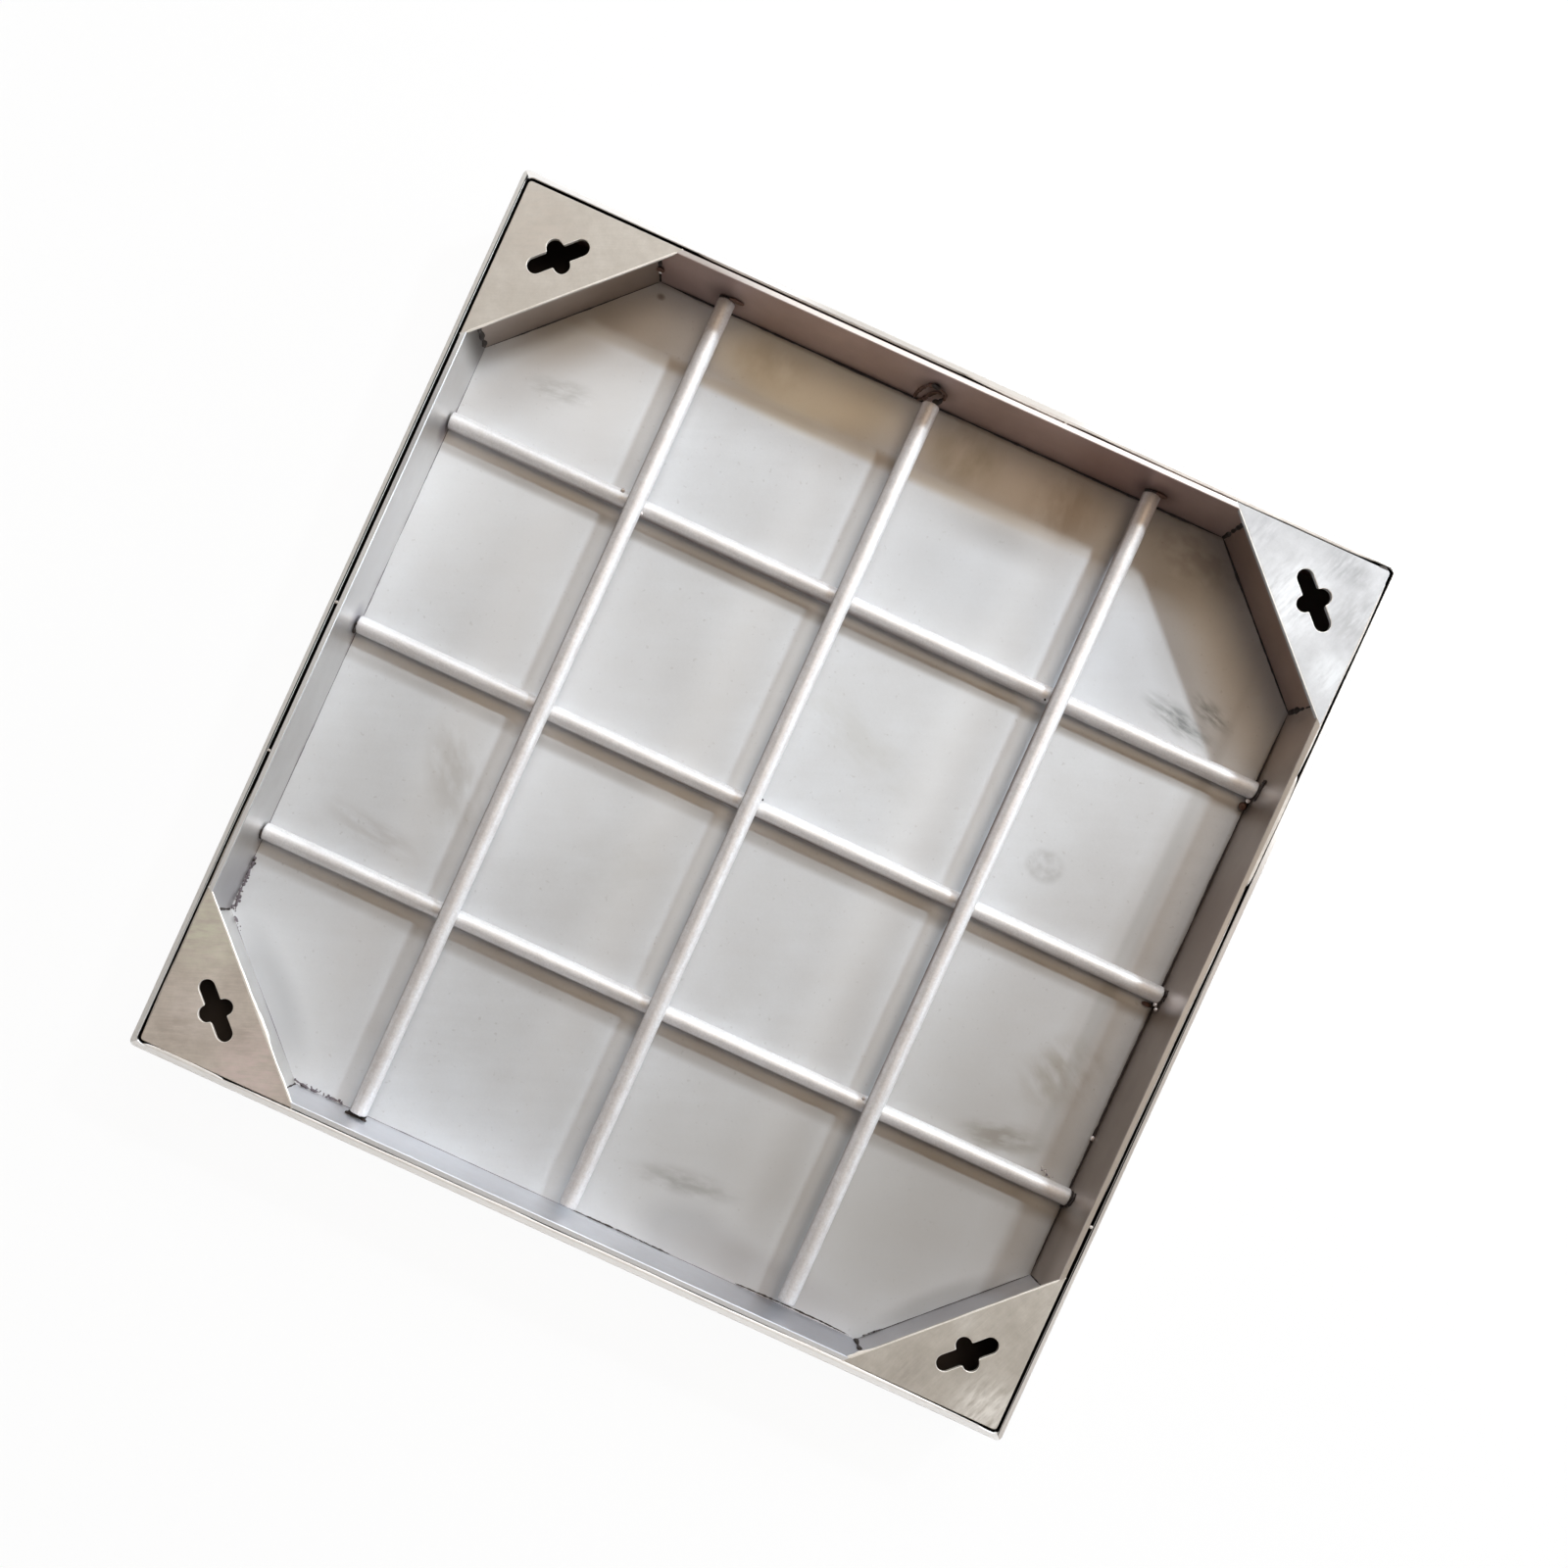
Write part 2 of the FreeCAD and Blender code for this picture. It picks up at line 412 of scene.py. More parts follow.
def tapered(count, seed, ripple=0.2, blur=1.5):
    # 1 along a bead with ripples, shrinking to a point at both ends as sqrt(1 - e^6)
    ends = np.sqrt(np.clip(1 - np.linspace(-1, 1, count) ** 6, 0.0004, 1))
    return ends * (1 + ripple * ripples(count, blur, seed))


def lump(centre, size, seed, uneven=0.15):
    # centre + size * (sin p cos t, sin p sin t, cos p) * (1 + uneven * noise)
    rows, around, pole = 10, 16, 0.12
    polar = np.linspace(pole, math.pi - pole, rows)[:, None]
    turn = fullTurn(around)[None, :]
    level = np.sin(polar)
    ball = np.stack([level * np.cos(turn), level * np.sin(turn), np.cos(polar) + 0 * turn], axis=-1)
    swell = 1 + uneven * smoothNoise(rows, around, (1.5, 1.5), seed)
    return np.array(centre, dtype=float) + ball * np.array(size, dtype=float) * swell[..., None]


# Tray floor, a satin sheet with soft clouds, dust, streaks and wipe marks

markDepth = 2.5
streakDepth = 9.0


def stainAndShading(at, size, turn, colour, amount, core=0.15):
    # a mark on the tray floor, too shallow to show on its underside
    return dict(at=(*at, cover["floorTop"]), size=(*size, markDepth), turn=turn, colour=colour,
                amount=amount, core=core)


def streak(at, size, turn, colour, amount, grain, core=0.15):
    return dict(stainAndShading(at, size, turn, colour, amount, core), grain=(*grain, streakDepth))


def tint(side, along, height, size, colour, amount, core=0.1, out=cover["inner"], deep=6.0):
    # a mark on an upright side, out from the middle; along is x on front and back and y on left and right
    at = dict(front=(along, -out), back=(along, out), left=(-out, along), right=(out, along))[side]
    reach = (size[0], deep) if side in ("front", "back") else (deep, size[0])
    return dict(at=(*at, height), size=(*reach, size[1]), turn=0, colour=colour, amount=amount, core=core)


# place, half size, turn, tone, strength, share that is full strength
floorMarks = [
    # broad clouds: lighter towards the left, darker towards the front and the front right corner, which
    # paints in part of the light falling off there
    ((190, -150), (150, 150), 0, (180, 178, 175), 0.5),
    ((-180, -170), (60, 60), 0, (238, 240, 244), 0.25),
    ((-120, 0), (80, 120), 0, (240, 242, 245), 0.3),
    ((-175, 180), (60, 60), 0, (250, 250, 250), 0.3),
    ((150, 165), (70, 60), 0, (188, 192, 199), 0.4),
    ((90, -200), (150, 90), 0, (182, 179, 175), 0.5),
    ((-210, 130), (110, 150), 0, (246, 247, 249), 0.3),
    # warm tints that colour the shade by the back wall, bands that widen and soften the shadows of the back
    # wall, the right wall and the right corner, and a lighter patch in the right corner's shade, all painted
    # shade and light; a darker smudge by the front wall
    ((-72, 230), (76, 38), 0, (250, 244, 224), 0.7, 0.4),
    ((50, 228), (84, 40), 0, (214, 199, 176), 0.55, 0.3),
    ((60, 192), (46, 16), 0, (150, 146, 142), 0.4, 0.05),
    ((56, 168), (90, 46), 0, (178, 180, 184), 0.3, 0.1),
    ((150, 226), (66, 44), -12, (150, 144, 136), 0.6, 0.3),
    ((-60, 203.6), (230, 6.5), 0, (166, 149, 127), 0.75, 0.1),
    ((194, 194), (80, 36), -45, (234, 231, 222), 0.3, 0),
    ((171, 171), (54, 16), -45, (160, 158, 156), 0.35, 0.05),
    ((216, -20), (17, 240), 0, (176, 172, 168), 0.36, 0.3),
    ((64, -230), (42, 25), 0, (160, 158, 158), 0.5, 0.4),
    ((216.5, 10), (7, 190), 0, (150, 146, 142), 0.4, 0.3),
    # painted shadow: darker bands that widen the cross rods' shadows; painted light: lighter strips that
    # thin out the long rods' shadows
    ((0, 110.4), (420, 5), 0, (140, 132, 124), 0.6, 0.2),
    ((0, -14.4), (420, 5.5), 0, (140, 132, 124), 0.42, 0.2),
    ((0, -138), (420, 6), 0, (140, 132, 124), 0.36, 0.2),
    ((-168, 0), (26, 320), 0, (248, 250, 252), 0.24, 0),
    ((-46, 0), (28, 320), 0, (248, 250, 252), 0.28, 0),
    ((82, 0), (26, 320), 0, (248, 250, 252), 0.24, 0),
    ((-139, 0), (7.5, 280), 0, (248, 250, 252), 0.26, 0.1),
    ((-16.6, 0), (7, 280), 0, (248, 250, 252), 0.34, 0.1),
    ((112.8, 0), (6.5, 280), 0, (248, 250, 252), 0.22, 0.1),
    # painted shade in the closed pockets behind the webs
    ((229, 229), (60, 27), -45, (66, 55, 50), 0.9, 0.5),
    ((-227, -227), (60, 27), -45, (66, 55, 50), 0.9, 0.5),
    ((-227, 227), (60, 27), 45, (66, 55, 50), 0.9, 0.5),
    ((227, -227), (60, 27), 45, (66, 55, 50), 0.9, 0.5),
    # darker floor along the webs, partly painted shade at their foot, and a duller patch by the front wall
    ((-204, 204), (62, 32), 45, (158, 142, 122), 0.72, 0.2),
    ((-204, -204), (60, 20), -45, (178, 179, 182), 0.75, 0.3),
    ((204, -204), (50, 11), 45, (140, 136, 134), 0.45, 0.3),
    ((105, -232), (70, 18), 0, (174, 171, 170), 0.65, 0.3),
    # dirt and painted shade along the foot of the back and right walls
    ((0, 243), (320, 4), 0, (112, 92, 80), 0.5, 0.3),
    ((243, 0), (4, 320), 0, (104, 88, 78), 0.5, 0.3),
    ((-166, 235), (3.4, 2.6), 0, (86, 66, 54), 0.6, 0.2)]
# dark olive streaks that deepen the shade by the back wall (painted shade with a streaky grain), streaks
# near the right corner and right wall, smudges and wipes: the same, with the grain of the streaks before the
# share
floorStreaks = [
    ((22, 226), (30, 26), 0, (148, 138, 104), 0.5, (13, 26)),
    ((84, 222), (28, 26), 8, (140, 118, 92), 0.45, (12, 24)),
    ((-96, 226), (40, 20), 0, (176, 158, 118), 0.35, (16, 22)),
    ((160, 226), (40, 22), -10, (108, 94, 84), 0.4, (10, 8)),
    ((190, 141), (30, 10), -14, (108, 112, 112), 0.75, (12, 3)),
    ((203, 152), (20, 8), -20, (106, 110, 110), 0.7, (9, 2.5)),
    ((212, -62), (26, 34), -35, (150, 141, 128), 0.6, (18, 8)),
    ((196, -108), (34, 12), 12, (138, 131, 120), 0.65, (14, 5)),
    ((-160, -52), (44, 22), -58, (172, 168, 163), 0.45, (18, 8)),
    ((-190, -98), (40, 12), -6, (174, 170, 168), 0.42, (16, 4)),
    ((48, -203), (40, 10), 8, (140, 136, 132), 0.55, (14, 5)),
    ((-195, 165), (26, 10), 10, (178, 178, 176), 0.5, (9, 3)),
    ((156, 38), (13, 11), 0, (176, 176, 177), 0.6, (6, 6), 0.6),
    ((30, 60), (60, 20), -20, (196, 196, 194), 0.5, (20, 8)),
    ((-60, -60), (50, 30), 30, (194, 194, 192), 0.25, (20, 10))]
floorLook = dict(
    colour=(215, 218, 222), cloudColour=(196, 195, 195), cloudSize=120, cloudAmount=0.6,
    smallAmount=0.25, brushSize=(60, 6, 60), brushTurn=20, brushAmount=0.018, grainSize=1.1,
    grainAmount=0.015, metallic=0.35, roughness=0.72, roughSpread=0.05, bump=0.004, brushBump=0.01,
    specks=0.25, speckColour=(150, 146, 142),
    marks=[stainAndShading(*row) for row in floorMarks] + [streak(*row) for row in floorStreaks])


# Upright walls, corner webs, frame and corner plates; the slot between tray and frame is painted near black,
# painted shade down in the gap

slotShade = (12, 9, 8)
wallLook = dict(
    colour=(206, 203, 200), cloudColour=(176, 168, 162), cloudSize=60, cloudAmount=0.5, smallAmount=0.3,
    brushSize=(40, 1.2, 1.2), brushTurn=0, brushAmount=0.03, grainSize=0.9, grainAmount=0.02,
    metallic=0.85, roughness=0.4, roughSpread=0.06, bump=0.004, brushBump=0.006, slotShade=slotShade,
    slotTop=0.8)
slotTops = dict(front=0.8, right=0.06, back=0.8, left=0.06)

# light and dark tone of each wall, and the tone of its rim; the back and right walls, turned from the lamps,
# get darker, browner tones and the front and left walls lighter ones: painted shade and light
wallTones = dict(front=((229, 231, 236), (205, 205, 210)), right=((172, 161, 154), (146, 134, 128)),
                 back=((207, 186, 183), (179, 157, 154)), left=((215, 214, 213), (192, 189, 187)))
rimTones = dict(front=(218, 218, 219), right=(172, 162, 152), back=(238, 235, 234),
                left=(214, 213, 212))
wallRimMarks = dict(
    right=[(130, 50, (110, 60), (134, 126, 118), 0.8, 0.3)],
    back=[(-160, 50, (70, 60), (176, 168, 164), 0.8, 0.3)],
    left=[(105, 50, (70, 60), (172, 172, 174), 0.8, 0.3)])
wallMarks = dict(
    front=[
        (-115, 30, (80, 60), (246, 247, 252), 0.35),
        (155, 28, (110, 70), (172, 173, 181), 0.8),
        (-125, 6, (34, 9), (196, 196, 200), 0.5)],
    right=[
        # darker bands along the foot: painted shade
        (0, 4, (260, 18), (136, 124, 116), 0.6),
        (0, 6, (320, 4), (88, 72, 62), 0.35, 0.3),
        (45, 32, (55, 60), (138, 122, 114), 0.6),
        (163, 29, (4, 11), (90, 72, 62), 0.6),
        (118, 34, (9, 26), (226, 220, 216), 0.5),
        (-4, 36, (8, 24), (244, 238, 238), 0.9),
        (-128, 32, (9, 26), (232, 228, 226), 0.7),
        (168, 30, (50, 60), (226, 210, 200), 0.75),
        (-155, 46, (40, 22), (214, 204, 198), 0.5)],
    back=[
        # a darker band along the foot: painted shade
        (0, 6, (320, 4), (104, 82, 70), 0.35, 0.3),
        (105, 30, (45, 60), (178, 146, 140), 0.6),
        # dark patches round the long rods' back ends: painted shade on the wall
        (-130, 26, (16, 18), (96, 78, 70), 0.6),
        (122, 26, (16, 18), (84, 64, 58), 0.6),
        (-8, 28, (16, 16), (96, 76, 66), 0.6),
        (168, 34, (36, 50), (236, 212, 200), 0.35)],
    left=[
        # a darker line along the top of the inner face: painted shade that dulls the glint on the rim's edge
        (0, 49.7, (520, 0.5), (150, 150, 152), 0.7, 0.6),
        (40, 30, (80, 60), (232, 232, 234), 0.4),
        (117, 14, (10, 12), (138, 130, 138), 0.75),
        (4, 16, (12, 14), (140, 136, 146), 0.7),
        (-156, 26, (30, 60), (166, 164, 168), 0.75),
        (168, 28, (19, 70), (96, 92, 90), 0.85)])
# the back right and back left webs, turned from the lamps, get darker, browner tones and the front left web
# a lighter one: painted shade and light
webTones = dict(
    front_right=((206, 205, 208), (178, 176, 180)), back_right=((192, 170, 160), (166, 144, 132)),
    back_left=((186, 174, 166), (160, 146, 136)), front_left=((228, 227, 226), (204, 202, 199)))
webMarks = dict(
    # a darker, browner patch on the back right web: painted shade in that corner
    back_right=[dict(at=(206, 206, 42), size=(70, 70, 24), turn=0, colour=(146, 124, 114), amount=0.5)])

frameLook = dict(
    wallLook, colour=(232, 230, 228), cloudColour=(206, 202, 198), metallic=0.5, roughness=0.5,
    brushSize=(30, 0.5, 0.5), brushAmount=0.05)
# tone of each frame rim; the front one is near white to make up for the light falling off towards the front:
# painted light
frameRims = dict(front=(252, 252, 252), right=(188, 182, 177), back=(250, 250, 250),
                 left=(214, 213, 211))
frameMiddle = cover["frameOuter"] - 1.5
# a near white band along the top of the front side: painted light
frameMarks = dict(front=[(0, 42, (520, 40), (255, 255, 255), 0.95, 0.5, cover["frameOuter"])])
# marks on the frame's rims; the rows in the slot's colour are painted shade along the edge of the slot
frameRimMarks = dict(
    right=[
        (190, 50, (130, 60), (246, 246, 246), 0.95, 0.6, frameMiddle),
        (-200, 50, (90, 60), (228, 224, 221), 0.8, 0.4, frameMiddle),
        (-110, 50, (185, 9), slotShade, 1, 0.6, 247.2, 0.95)],
    back=[(-5, 50, (100, 60), (196, 193, 189), 0.9, 0.6, frameMiddle)],
    left=[
        (130, 50, (150, 60), (198, 196, 192), 0.6, 0.5, frameMiddle),
        (60, 50, (330, 9), slotShade, 1, 0.6, 247.2, 0.95)])

plateLook = dict(
    wallLook, cloudSize=26, cloudAmount=0.6, smallAmount=0.45, brushSize=(16, 0.7, 0.7), grainAmount=0.03,
    roughness=0.75, metallic=0.25, specks=0.25)

rodLook = dict(
    wallLook, colour=(234, 234, 236), cloudColour=(217, 213, 212), cloudSize=18, brushSize=(12, 1.2, 1.2),
    brushAmount=0.04, roughness=0.55, metallic=0.35, grainAmount=0.08, bump=0.02, slotShade=None)

weldLook = dict(
    wallLook, colour=(60, 50, 45), cloudColour=(24, 18, 16), cloudSize=5, brushSize=(3, 1, 1),
    brushAmount=0.1, roughness=0.6, metallic=0.4, grainSize=0.5, grainAmount=0.2, bump=0.05, slotShade=None)

brightWeldLook = dict(
    weldLook, colour=(226, 220, 218), cloudColour=(180, 168, 164), cloudSize=4, brushAmount=0.08,
    roughness=0.35, metallic=0.6, grainSize=0.6, grainAmount=0.08, bump=0.03)

# light and dark tone, turn and strength of the brushing, and smudges as x, y, size, tone, amount; the tones
# differ from corner to corner partly to even out how the lamps light the plates: painted light and shade
plateTones = dict(
    front_right=((200, 194, 185), (170, 162, 152), 68, 0.045,
                 [(236, -238, 26, (240, 236, 230), 0.8), (190, -236, 18, (160, 152, 144), 0.5),
                  (205, -200, 12, (216, 212, 206), 0.5)]),
    back_right=((211, 211, 213), (181, 181, 183), 70, 0.015,
                [(238, 215, 22, (160, 159, 160), 0.6), (222, 238, 16, (154, 154, 156), 0.6),
                 (205, 212, 30, (236, 237, 239), 0.7), (240, 184, 16, (230, 232, 234), 0.6),
                 (176, 238, 14, (164, 164, 168), 0.5), (232, 236, 9, (120, 118, 120), 0.35)]),
    back_left=((206, 200, 192), (184, 176, 166), 24, 0.03, [(-232, 225, 30, (206, 196, 186), 0.5)]),
    front_left=((216, 207, 197), (182, 171, 161), 22, 0.07,
                [(-236, -176, 34, (212, 212, 192), 0.75), (-186, -236, 32, (222, 204, 200), 0.75),
                 (-226, -222, 20, (228, 218, 212), 0.5), (-196, -222, 14, (160, 148, 138), 0.45),
                 (-232, -236, 16, (170, 158, 148), 0.5)]))


def tints(side, table):
    return [tint(side, *row) for row in table.get(side, [])]


def dress(nodeName, material):
    for slot in bpy.data.objects[nodeName].material_slots:
        slot.link = "OBJECT"
        slot.material = material


print("sheet metal finishes")
dress("tray_floor", steel("floor_steel", floorLook))
for number, side in enumerate(sides):
    light, dark = wallTones[side]
    turn = 90 * (number % 2)
    look = dict(wallLook, colour=light, cloudColour=dark, brushTurn=turn, marks=tints(side, wallMarks),
                rimColour=rimTones[side], rimMarks=tints(side, wallRimMarks), slotTop=slotTops[side])
    dress("tray_wall_" + side, steel("wall_steel_" + side, look))
    look = dict(frameLook, brushTurn=turn, marks=tints(side, frameMarks), rimColour=frameRims[side],
                rimMarks=tints(side, frameRimMarks), slotTop=slotTops[side])
    dress("frame_side_" + side, steel("frame_steel_" + side, look))
for number, corner in enumerate(corners):
    light, dark = webTones[corner]
    look = dict(wallLook, colour=light, cloudColour=dark, brushTurn=45 - 90 * (number % 2),
                marks=webMarks.get(corner, []))
    dress("corner_web_" + corner, steel("web_steel_" + corner, look))
    light, dark, turn, brushing, smudges = plateTones[corner]
    marks = [dict(at=(x, y, cover["rim"]), size=(size, size, markDepth), turn=turn, colour=shade,
                  amount=amount, grain=(9, 2.5, streakDepth)) for x, y, size, shade, amount in smudges]
    look = dict(plateLook, colour=light, cloudColour=dark, brushTurn=turn, brushAmount=brushing,
                speckColour=dark, marks=marks)
    dress("corner_plate_" + corner, steel("plate_steel_" + corner, look))


# Reinforcing rods

rodShape = dict(
    around=40, step=1.5, endRound=0.9, pit=0.1, pitGrain=(1.1, 1.1), wave=0.06, waveGrain=(9, 4))
# the rods are hand laid: how far the left or front end and the right or back end lie out of line
rodLean = dict(cross_rod_front=(0.4, 0.4), cross_rod_middle=(2, -1.1), cross_rod_back=(0.3, -1.9),
               long_rod_left=(0.5, 0.2), long_rod_middle=(2, 0.9), long_rod_right=(1.8, 0.1))


def rodLine(nodeName):
    # both ends, middle, radius and axis of a rod
    low, high = boxOf(nodeName)
    along = int(np.argmax(high - low))
    return low[along], high[along], (low + high) / 2, (high[2] - low[2]) / 2, along


def rodSkin(nodeName, seed):
    # middle + lean + (R - pits) * (side cos a + up sin a); R eases in a quarter round at the rod's ends
    start, stop, middle, radius, along = rodLine(nodeName)
    endRound = rodShape["endRound"]
    ease = endRound * np.array([0, 0.08, 0.3, 0.6])
    body = np.arange(start + endRound, stop - endRound, rodShape["step"])
    stations = np.concatenate([start + ease, body, [stop - endRound], stop - ease[::-1]])
    fromEnd = np.minimum(np.minimum(stations - start, stop - stations), endRound)
    radii = radius - endRound + np.sqrt(endRound ** 2 - (endRound - fromEnd) ** 2)
    shape = (len(stations), rodShape["around"])
    pits = np.clip(smoothNoise(*shape, rodShape["pitGrain"], seed), 0, 1) * rodShape["pit"]
    waves = (0.5 + 0.5 * smoothNoise(*shape, rodShape["waveGrain"], seed + 50)) * rodShape["wave"]
    radii = radii[:, None] - pits - waves
    angle = fullTurn(rodShape["around"])
    rings = np.empty((*shape, 3))
    rings[..., along] = stations[:, None]
    lean = np.interp(stations, [start, stop], rodLean[nodeName])[:, None]
    rings[..., 1 - along] = middle[1 - along] + lean + radii * np.cos(angle)
    rings[..., 2] = middle[2] + radii * np.sin(angle)
    return rings


# painted shade along the side of a rod that is turned from the light: -y on a cross rod, -x on a long rod
rodShade = dict(colour=(96, 72, 66), amount=0.85, core=0.2, turn=0)


def underShade(nodeName):
    start, stop, middle, radius, along = rodLine(nodeName)
    middle[1 - along] -= radius - 0.4
    middle[2] += 0.3
    reach = [420, 420, 4.2]
    reach[1 - along] = 2.8
    return dict(rodShade, at=tuple(middle), size=reach)


rods = list(rodLean)
rodSteelX = steel("rod_steel_x", dict(rodLook, marks=[underShade(rod) for rod in rods[:3]]))
rodSteelY = steel("rod_steel_y", dict(rodLook, brushTurn=90, colour=(230, 230, 232), cloudSize=10,
                                      cloudColour=(204, 198, 196), smallAmount=0.5,
                                      marks=[underShade(rod) for rod in rods[3:]]))
for number, rod in enumerate(rods):
    material = rodSteelX if number < 3 else rodSteelY
    skin = makePiece(rod + "_skin", [rodSkin(rod, 11 + number)], material)
    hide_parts(rod)
print("rods")


# Welds, dark where the heat stayed and bright where they were ground

weldDark = steel("weld_dark", weldLook)
weldBrown = steel("weld_brown", dict(weldLook, colour=(112, 82, 68), cloudColour=(66, 46, 38)))
weldGrey = steel("weld_grey", dict(weldLook, colour=(124, 116, 122), cloudColour=(84, 78, 84)))
weldBright = steel("weld_bright", brightWeldLook)

rodWelds = dict(
    gap=0.4, sink=0.4, lift=0.2, steps=28,
    # rod, end (-1 or 1), arc from and to in degrees about the rod (90 is its top), thickness
    arcs=[
        ("cross_rod_middle", -1, 95, 165, 0.5), ("cross_rod_front", -1, 80, 265, 0.62),
        ("cross_rod_middle", 1, 50, 120, 0.5), ("cross_rod_front", 1, 20, 175, 1),
        ("long_rod_left", 1, 20, 165, 0.7), ("long_rod_right", 1, 10, 172, 1.15),
        ("long_rod_left", -1, 195, 345, 1.2)])


def rodEndWeld(nodeName, end, fromAngle, toAngle, thick, seed):
    # path (R cos a, R sin a) round the rod's end, carrying a bead that fills the corner to the wall
    start, stop, middle, radius, along = rodLine(nodeName)
    radius -= rodWelds["sink"]
    angle = np.radians(np.linspace(fromAngle, toAngle, rodWelds["steps"]))
    path = np.empty((len(angle), 3))
    path[:, along] = (stop if end > 0 else start) + end * rodWelds["gap"]
    lean = rodLean[nodeName][1 if end > 0 else 0]
    path[:, 1 - along] = middle[1 - along] + lean + radius * np.cos(angle)
    path[:, 2] = np.maximum(middle[2] + radius * np.sin(angle), cover["floorTop"] + rodWelds["lift"])
    outwards = np.zeros_like(path)
    outwards[:, 1 - along] = np.cos(angle)
    outwards[:, 2] = np.sin(angle)
    axis = np.zeros_like(path)
    axis[:, along] = end
    return bead(path, outwards, axis, thick, 0.8 * thick, tapered(len(angle), seed, 0.35, 1))


makeRow("rod_end_welds", rodEndWeld, rodWelds["arcs"], 80, weldDark)

# places are x, y, z; sizes are half widths
drops = dict(
    dark=[
        ((-241.6, 1.6, 15), (0.8, 1, 1)), ((-241.8, -2, 13), (0.9, 1.8, 2.4)),
        ((-241.9, -139.7, 6.4), (1, 0.9, 0.5)), ((-240.4, -141.2, 6.2), (0.6, 0.6, 0.4)),
        ((241.9, 115.4, 7.2), (1.4, 1.4, 1.4)), ((-4.8, 237.6, 24.6), (2.3, 1.6, 1.3)),
        # the dark drops by x -135 and -127 on the front wall are weld and painted shade under the left long
        # rod's end
        ((-3, 240.4, 21), (1.2, 1.3, 2.4)), ((-135, -242, 14), (1, 0.7, 1.4)),
        ((-126.8, -242, 14.6), (1.7, 0.9, 1.3)), ((241.4, -7.2, 7.2), (1.4, 1.3, 1)),
        ((241.8, -127.6, 7.6), (1, 1.6, 1.6)), ((124.6, 241.6, 24), (1.4, 0.8, 1.3)),
        ((-0.6, 6, 15.2), (0.6, 0.7, 0.5)), ((116.2, 119, 15.4), (0.6, 0.7, 0.4)),
        ((241.2, 245, 49.6), (2.6, 1.6, 0.4)),
        ((241, 168.4, 42), (1.5, 1.6, 3)), ((171.2, -241.4, 39), (1.6, 1.2, 2.6)),
        ((-8.6, 241.6, 33.4), (2.6, 1, 2.6))],
    brown=[
        ((-169.4, 241.6, 23.6), (2.8, 1, 2.4)), ((240.2, 112.6, 8.2), (2.4, 2.6, 1.6)),
        ((238, -8, 7.4), (3, 1.4, 1.4)),
        # the last two brown lumps paint the soft shade over the long rods' back ends on the back wall
        ((-124.6, 242, 25.6), (4.6, 0.8, 2.2)), ((124.6, 242, 24.6), (4.6, 0.9, 2.4))],
    bright=[
        ((240.6, 115.6, 11), (1.4, 1.4, 1.2)), ((240.6, -6.6, 13), (1.3, 1.4, 1.4)),
        ((241.4, -8.8, 14.6), (1.1, 1.2, 1.2)), ((-168.8, 240.6, 22.6), (0.9, 0.7, 0.8)),
        ((241.9, -87.3, 6.9), (1.3, 1.6, 1.1)),
        ((-139.6, 127.4, 15), (1.3, 1.5, 0.9)), ((-125.4, 120.2, 15.4), (1.1, 1.3, 0.8)),
        ((-2.4, 4.4, 15.4), (1.1, 1.2, 0.7)), ((116.9, -119, 15.2), (1, 1.2, 0.8)),
        ((164, -240.6, 48.9), (3.2, 1.2, 0.9)),
        ((226, -114.5, 6.5), (0.7, 0.7, 0.6)), ((229, -116, 6.4), (0.6, 0.5, 0.5)),
        ((223.5, -113, 6.4), (0.5, 0.5, 0.4))])
makeRow("weld_drops_dark", lump, drops["dark"], 120, weldDark)
makeRow("weld_drops_brown", lump, drops["brown"], 190, weldBrown)
makeRow("weld_drops_bright", lump, drops["bright"], 150, weldBright)


def threaded(points, step=0.5, blur=3):
    # even steps along straight runs through the points, then a running mean to round the corners
    points = np.array(points, dtype=float)
    reach = np.concatenate([[0], np.cumsum(np.linalg.norm(np.diff(points, axis=0), axis=1))])
    count = max(int(reach[-1] / step), 6)
    at = np.linspace(0, reach[-1], count)
    path = np.stack([np.interp(at, reach, column) for column in points.T], axis=1)
    padded = np.pad(path, ((blur, blur), (0, 0)), mode="edge")
    window = np.ones(2 * blur + 1) / (2 * blur + 1)
    return np.stack([np.convolve(column, window, mode="valid") for column in padded.T], axis=1)


# beads lying on a tray wall: the messy double loop over the middle long rod, and slips of the torch by the
# rod ends; points are place along the side and height
wallBeads = dict(
    brown=[
        ("back", 1, [(-16.8, 6), (-16.3, 15), (-14.6, 23.3), (-12.3, 29.4), (-9.6, 33.6), (-7.2, 33.2)]),
        ("back", 1.5, [(-12.8, 28.6), (-10.2, 33.2), (-7, 32.6), (-5.6, 30.4)]),
        ("back", 0.95, [(-7.4, 33), (-4.9, 30.6), (-1.8, 27), (-1.4, 21.5), (-3, 16.5)]),
        ("back", 1.1, [(-14.6, 5), (-11.6, 10.5), (-10, 17.5), (-8.2, 22.8), (-6, 26.4), (-3.4, 25.8)])],
    dark=[
        ("right", 0.9, [(128.2, 18.6), (124, 17.4), (119.4, 17.2), (115.4, 16)]),
        ("right", 1.1, [(128.8, 19.2), (126.4, 18.6), (125, 18)]),
        ("front", 1.3, [(-137, 20.6), (-134.6, 19.4), (-130, 18.8), (-126, 19.6), (-123.6, 21.4)]),
        ("right", 0.6, [(3.4, 17.2), (0, 18.2), (-4.2, 17.6)]),
        ("right", 0.9, [(-117.4, 18), (-119.8, 19.6), (-122.9, 18.8), (-126.4, 16)])])


# a shape is laid out for the front wall and turned to its side; this keeps its places +x and +y there
sideSign = dict(front=1, right=1, back=-1, left=-1)
beadSink = 0.2


